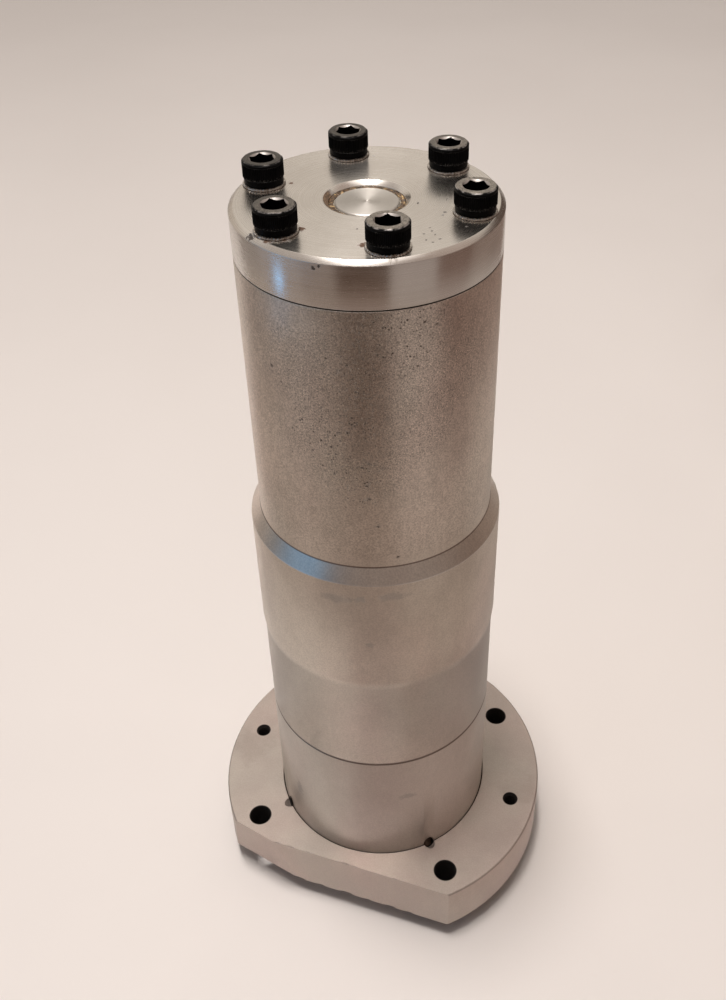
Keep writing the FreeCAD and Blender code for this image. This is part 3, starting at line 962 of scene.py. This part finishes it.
def ribbed_steel():
    """Washer steel, bright on the ribs' ends and rusty below them."""
    made, shader, place = material("washer_steel")
    haze = cloud(place, 420.0, 4.0, 0.65)
    grain = cloud(place, 1800.0, 2.0)
    colour = toned(grain, 0.3, 0.7, (0.36, 0.32, 0.28), (0.62, 0.575, 0.52))
    below = spread(parts_of(place)[2], 0.45 * WASHER_LOW + 0.55 * WASHER_HIGH,
                   0.8 * WASHER_LOW + 0.2 * WASHER_HIGH)
    rust = most(spread(haze, 0.5, 0.66), times(below, 0.85))
    colour = covered(colour, rust, 0.92, (0.085, 0.047, 0.024))
    set_inputs(shader, Base_Color=colour, Metallic=minus(1.0, times(rust, 0.8)),
               Roughness=times_plus(haze, 0.4, 0.12))
    bump(shader, haze, 0.00001)
    return made


def grease():
    """Dried grease, dark with rusty crumbs."""
    made, shader, place = material("dried_grease")
    lumps = cloud(place, 1500.0, 3.0, 0.7)
    rusty = cloud(place, 620.0, 3.0, 0.6)
    colour = toned(lumps, 0.42, 0.62, (0.014, 0.008, 0.005), (0.17, 0.092, 0.036))
    colour = toned(rusty, 0.56, 0.68, colour, (0.5, 0.34, 0.16))
    set_inputs(shader, Base_Color=colour, Roughness=spread(lumps, 0.3, 0.7, 0.3, 0.7))
    bump(shader, lumps, 0.00012)
    return made


def plain_finish(name, low, high, roughness, metallic):
    """A hidden piece's finish: two close tones, with a fine grain in its gloss."""
    made, shader, place = material(name)
    haze = cloud(place, 600.0, 3.0, 0.6)
    marks = use(MARKS, Place=place, Fineness=3500.0)
    set_inputs(shader, Base_Color=toned(haze, 0.3, 0.7, low, high),
               Metallic=metallic, Roughness=times_plus(haze, 0.15, roughness))
    bump(shader, plus(haze, marks), 0.000005)
    return made


def polished_rod():
    """The plunger's turned end: rings round a centre mark, which spread the light in a star."""
    made, shader, place = material("plunger_steel")
    marks = use(MARKS, Place=place, Fineness=6000.0)
    haze = cloud(place, 160.0, 3.0)
    tone = weighted((marks, 0.5), (haze, 0.5))
    colour = toned(tone, 0.3, 0.7, (0.47, 0.445, 0.415), (0.56, 0.535, 0.5))
    pits = use(PITS, Place=place, Density=700.0, Patch_scale=120.0, Patch_start=0.62, Size=0.4)
    colour = covered(colour, pits, 0.8, PIT_BROWN)
    set_inputs(shader, Base_Color=colour, Metallic=1.0, Roughness=times_plus(marks, 0.1, 0.4))
    turned_gloss(shader, 0.55)
    bump(shader, marks, 0.000003)
    return made


# The floor, the light and the camera. Their places have the camera in front, on -Y.

CAMERA_TURN = 20.6
CAMERA_PLACE = (0, -0.33906, 0.46097)
CAMERA_HEADING = -1.6376
CAMERA_DIP = 37.2427
CAMERA_ROLL = -0.6419
CARD_NEAR = 0.108
CARD_FAR = 5.5
CARD_HIGH = NOSE_LOW + 0.004
CARD_REACH = (0.13, 0.28, 0.48, 0.68)


def facing_camera(place):
    """Turns a place given with the camera in front, on -Y, into the part's frame."""
    return Matrix.Rotation(radians(CAMERA_TURN), 3, "Z") @ Vector(place)


def floor():
    """The sheet of paper that the tube stands on."""
    mesh = bmesh.new()
    bmesh.ops.create_grid(mesh, x_segments=1, y_segments=1, size=6.0)
    bmesh.ops.translate(mesh, verts=mesh.verts, vec=(0, 0, NOSE_LOW))
    made = piece("floor", mesh)
    paper, shader, place = material("floor_paper")
    haze = cloud(place, 3.0, 3.0)
    colour = toned(haze, 0.3, 0.7, (0.79, 0.735, 0.7), (0.815, 0.76, 0.725))
    set_inputs(shader, Base_Color=colour, Roughness=0.7)
    made.data.materials.append(paper)


def lamp(name, kind, place, target, colour, power, **shape):
    """A lamp that faces a point; both places are given with the camera in front."""
    light = bpy.data.lights.new(name, kind)
    light.color = colour
    light.energy = power
    for setting, value in shape.items():
        setattr(light, setting, value)
    made = linked(name, light)
    made.location = facing_camera(place)
    direction = facing_camera(target) - made.location
    made.rotation_euler = direction.to_track_quat("-Z", "Y").to_euler()


def glowing_reflection_card(name, first, last, shades):
    """A glowing wedge at table level that paints the room's light and shade into reflections only, between
    two turns from the camera's side.

    Its shades are those at each distance of CARD_REACH from the tube's axis.
    """
    mesh = bmesh.new()
    corners = [(CARD_NEAR, first), (CARD_FAR, first), (CARD_FAR, last), (CARD_NEAR, last)]
    mesh.faces.new([mesh.verts.new((reach * sin(radians(turn)), -reach * cos(radians(turn)), CARD_HIGH))
                    for reach, turn in corners])
    turned(mesh, CAMERA_TURN, "Z")
    bmesh.ops.recalc_face_normals(mesh, faces=mesh.faces)
    made = piece(name, mesh)
    reflection_glow, shader, place = material(name)
    reach = axis_distance(place)
    shade = shades[0]
    for near, far, further in zip(CARD_REACH, CARD_REACH[1:], shades[1:]):
        shade = toned(reach, near, far, shade, further)
    glow_patches = cloud(place, 6.0, 2.0)
    # Painted reflection: the wedge has no colour of its own and glows with the shade that the metal reflects.
    set_inputs(shader, Base_Color=(0, 0, 0, 1), Roughness=1.0, Specular_IOR_Level=0.0,
               Emission_Color=shade, Emission_Strength=spread(glow_patches, 0.3, 0.7, 0.93, 1.07))
    made.data.materials.append(reflection_glow)
    made.visible_camera = made.visible_diffuse = made.visible_shadow = made.visible_transmission = False


# Painted reflection of the room round the sheet of paper: glowing wedges, seen only in reflections,
# dim brown in front, paler at both sides. Each wedge has its two turns and its four shades.
CARDS = {
    "card_front": (
        -26, 16, (0.33, 0.25, 0.225), (0.42, 0.34, 0.3), (0.3, 0.21, 0.165), (0.07, 0.034, 0.018)),
    "card_front_left": (
        -55, -26, (0.6, 0.51, 0.47), (0.46, 0.375, 0.33), (0.31, 0.235, 0.19), (0.3, 0.235, 0.2)),
    "card_left": (
        -95, -55, (0.62, 0.54, 0.5), (0.55, 0.46, 0.41), (0.4, 0.32, 0.265), (0.38, 0.31, 0.27)),
    "card_back_left": (
        -125, -95, (0.64, 0.56, 0.52), (0.55, 0.47, 0.43), (0.49, 0.4, 0.33), (0.33, 0.275, 0.24)),
    "card_front_right": (
        16, 55, (0.42, 0.34, 0.3), (0.4, 0.315, 0.27), (0.46, 0.39, 0.345), (0.45, 0.38, 0.345)),
    "card_right": (
        55, 90, (0.42, 0.34, 0.3), (0.38, 0.3, 0.255), (0.47, 0.39, 0.35), (0.175, 0.105, 0.08)),
    "card_back_right": (
        90, 150, (0.5, 0.43, 0.39), (0.42, 0.35, 0.31), (0.55, 0.48, 0.43), (0.28, 0.205, 0.17)),
}


def sky():
    """A warm white room: bright behind and overhead, dim at the sides and behind the camera."""
    world = bpy.data.worlds.new("studio")
    world.use_nodes = True
    bpy.context.scene.world = world
    background = world.node_tree.nodes["Background"]
    direction = shader_node(background, "TexCoord").outputs["Generated"]
    level = parts_of(direction)[2]

    def towards(place):
        """How nearly a ray points to a place, given with the camera in front."""
        return placed("VectorMath", direction, tuple(facing_camera(place)), operation="DOT_PRODUCT")["Value"]

    back = towards((0, 1, 0))
    left = towards((-1, 0, 0))
    right = toned(level, 0.18, 0.5, (0.24, 0.18, 0.155), (0.5, 0.4, 0.345))
    side = toned(left, -0.6, 0.6, right, (0.52, 0.455, 0.41))
    around_us = toned(back, -0.8, -0.1, (0.27, 0.215, 0.195), side)
    far_wall = toned(level, 0.28, 0.5, (0.6, 0.52, 0.44), (0.86, 0.79, 0.71))
    window = spread(towards((-0.97, -0.24, 0)), 0.55, 0.95)
    low_window = times(window, spread(level, 0.55, 0.3))
    around_us = blended(low_window, around_us, (0.15, 0.205, 0.265))
    walls = toned(back, 0.1, 0.6, around_us, far_wall)
    corner = spread(towards((0.78, 0.62, 0)), 0.72, 0.9)
    dim_corner = times(corner, spread(level, 0.6, 0.38))
    walls = blended(dim_corner, walls, (0.11, 0.075, 0.06))
    ceiling = toned(level, 0.89, 0.965, walls, (2.02, 1.89, 1.79))
    ray = shader_node(background, "LightPath")
    set_inputs(background, Color=ceiling,
               Strength=spread(ray.outputs["Is Diffuse Ray"], 0.0, 1.0, 1.0, 0.45))


def camera():
    """The photograph's view, worked out from the circles and side lines of the tube."""
    lens = bpy.data.cameras.new("camera")
    lens.sensor_fit = "AUTO"
    lens.sensor_width = 36.0
    lens.lens = 38.659
    lens.shift_x = -0.0355
    lens.shift_y = -0.0537
    lens.clip_start = 0.01
    made = linked("camera", lens)
    heading = Matrix.Rotation(radians(CAMERA_TURN + CAMERA_HEADING), 4, "Z")
    tilt = Matrix.Rotation(radians(90 - CAMERA_DIP), 4, "X")
    roll = Matrix.Rotation(radians(CAMERA_ROLL), 4, "Z")
    place = Matrix.Translation(facing_camera(CAMERA_PLACE))
    made.matrix_world = place @ heading @ tilt @ roll
    bpy.context.scene.camera = made


def main():
    barrel_finish = ground_steel(
        "barrel_steel", (0.8, 0.75, 0.69), (0.64, 0.59, 0.54), 0.25,
        spots=[(-20.3, -42.2, 261.3, 1), (12.9, -45, 215.1, 0.8),
               (14.4, -44.6, 222.4, 0.8), (17.4, -43.5, 202.3, 0.8),
               (23.5, -40.5, 186.6, 0.8), (5.7, -46.5, 269.2, 1.2),
               (11.2, -49.6, 168.9, 3, (1.0, 1.0, 1.6)),
               (2, -50.7, 168, 5, (0.6, 0.6, 1.8)),
               (23, -45.2, 170, 5, (0.7, 0.7, 1.7)),
               (14.2, -48.8, 144.2, 2.4, (1.0, 1.0, 1.5))],
        clusters=[(13, -45.1, 260, 60), (28, -37.6, 282, 40)],
        dots=[(-20.4, -42.3, 263.7, 0.9), (-16.4, -44, 258.8, 0.5),
              (7.7, -46.3, 244.4, 0.8), (5.2, -46.7, 240.7, 0.6),
              (1.8, -46.9, 237.5, 0.7), (-5.2, -46.7, 234.4, 0.6),
              (12.3, -45.3, 229.7, 0.6), (13.8, -44.9, 221.2, 0.8),
              (14.4, -44.6, 215.5, 0.8), (17.1, -43.7, 202.4, 0.8),
              (23.5, -40.5, 186.6, 0.7), (31.6, -34.8, 285.7, 0.8),
              (29.8, -36.3, 269.6, 0.6), (34.6, -31.7, 283.7, 0.7)],
        pit_patches=[(3, -46.8, 240, 24), (24, -40.4, 280, 24),
                     (11, -45.6, 224, 16), (10, -45.9, 270, 18)],
        joint_grime_and_shade_bands=[(BARREL_HIGH, 0.0003)], rusty=[(CONE_HIGH, 0.0004), (SLEEVE_HIGH, 0.0012)],
        worn_edges=[(LAND_HIGH, 0.0003)], dull_below=LOWER_HIGH)
    sleeve_finish = ground_steel(
        "sleeve_steel", (0.67, 0.645, 0.61), (0.57, 0.54, 0.505), 0.3,
        spots=[(27.3, -42.1, 42, 3.6, (0.7, 0.7, 1.7)),
               (-26.2, -42.7, 25.9, 4.2, (1.4, 1.4, 0.7))],
        # The black band round -THREAD_RELIEF is painted shade in the undercut under the flange face.
        joint_grime_and_shade_bands=[(-THREAD_RELIEF, 0.0032)], rusty=[(SLEEVE_HIGH, 0.0007)], mottle=0.18)
    diagonal = BOLT_R * sqrt(0.5)
    flange_finish = ground_steel(
        "flange_steel", (0.42, 0.372, 0.342), (0.365, 0.322, 0.297), 0.34,
        spots=[(72, 6.9, 0, 11, (0.6, 1.0, 1.0)),
               (-68.5, -12, 0, 12, (1.0, 0.8, 1.0))],
        # sides=1.42 paints extra light onto the flange's upright faces.
        mottle=0.16, sides=1.42, oxide=0.4, smudge_share=0.12,
        # The flange's bolt and jack holes are painted black inside as shade.
        holes=[(diagonal, diagonal, BOLT_HOLE_R), (BOLT_R, 0.0, JACK_HOLE_R)])
    cap_finish = cap_steel()
    black = black_oxide()
    washer_finish = ribbed_steel()
    rod_finish = polished_rod()
    pin_finish = plain_finish("pin_steel", (0.05, 0.03, 0.02), (0.1, 0.065, 0.045), 0.4, 0.6)
    white_plastic = plain_finish("seal_plastic", (0.46, 0.42, 0.34), (0.6, 0.56, 0.48), 0.4, 0.0)
    bronze = plain_finish("bearing_bronze", (0.46, 0.29, 0.13), (0.62, 0.42, 0.2), 0.3, 1.0)
    rubber = plain_finish("seal_rubber", (0.012, 0.012, 0.012), (0.03, 0.03, 0.03), 0.45, 0.0)
    oiled = plain_finish("spring_steel", (0.16, 0.155, 0.15), (0.27, 0.26, 0.25), 0.3, 1.0)
    bright = plain_finish("bright_steel", (0.55, 0.53, 0.5), (0.66, 0.63, 0.6), 0.24, 1.0)

    def dress(made, finish, slot, body, *stands_for):
        """Gives a piece its finish and body, and hides the nodes that it stands for. Slot is not used."""
        made.data.materials.clear()
        made.data.materials.append(finish)
        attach(made, body)
        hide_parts(*stands_for)

    dress(end_cap(), cap_finish, "turned_steel", "housing", "end_cap")
    dress(barrel(), barrel_finish, "barrel_steel", "housing", "barrel")
    dress(base_sleeve(), sleeve_finish, "barrel_steel", "housing", "base_sleeve")
    dress(flange(), flange_finish, "flange_steel", "housing", "flange")
    dress(base_head(), flange_finish, "flange_steel", "housing", "base_head")
    dress(plunger_rod(), rod_finish, "bright_steel", "plunger", "plunger_rod")
    dress(wiper_ring(), white_plastic, "seal_plastic", "housing", "wiper_ring")
    for screw in cap_screws():
        dress(screw, black, "black_oxide", "housing", "cap_screws")
    for washer in lock_washers():
        dress(washer, washer_finish, "black_oxide", "housing", "lock_washers")
    for pin in lock_pins():
        dress(pin, pin_finish, "spring_steel", "housing", "lock_pins")
    dress(old_grease(), grease(), "seal_rubber", "housing")
    finishes = {
        "guide_bushing": bronze, "base_seal": rubber, "piston_seal": rubber, "rod_seal": rubber,
        "piston_backup_ring": white_plastic, "wear_ring": white_plastic, "return_spring": oiled,
        "piston_nut": black, "piston": bright, "lower_spring_seat": bright, "stop_tube": bright,
        "upper_spring_seat": bright,
    }
    for name, finish in finishes.items():
        nodes[name].data.materials.clear()
        nodes[name].data.materials.append(finish)


main()
floor()
sky()
camera()
for name, (first, last, *shades) in CARDS.items():
    glowing_reflection_card(name, first, last, shades)
lamp("overhead", "AREA", (-0.16, -0.03, 2.1), (0, 0, 0.1), (1.0, 0.955, 0.92), 31.5,
     shape="RECTANGLE", size=0.6, size_y=0.26)
lamp("window", "AREA", (-1.02, -0.46, 0.38), (0, 0, 0.2), (0.13, 0.5, 1.0), 0.6,
     shape="RECTANGLE", size=0.8, size_y=0.32)
lamp("cap_side_light", "SPOT", (-0.1715, -0.057, 0.227), (-0.0325, -0.034, 0.304), (0.16, 0.52, 1.0), 0.075,
     spot_size=radians(6.6), spot_blend=0.2, shadow_soft_size=0.02)

bpy.context.scene.view_settings.view_transform = "Standard"
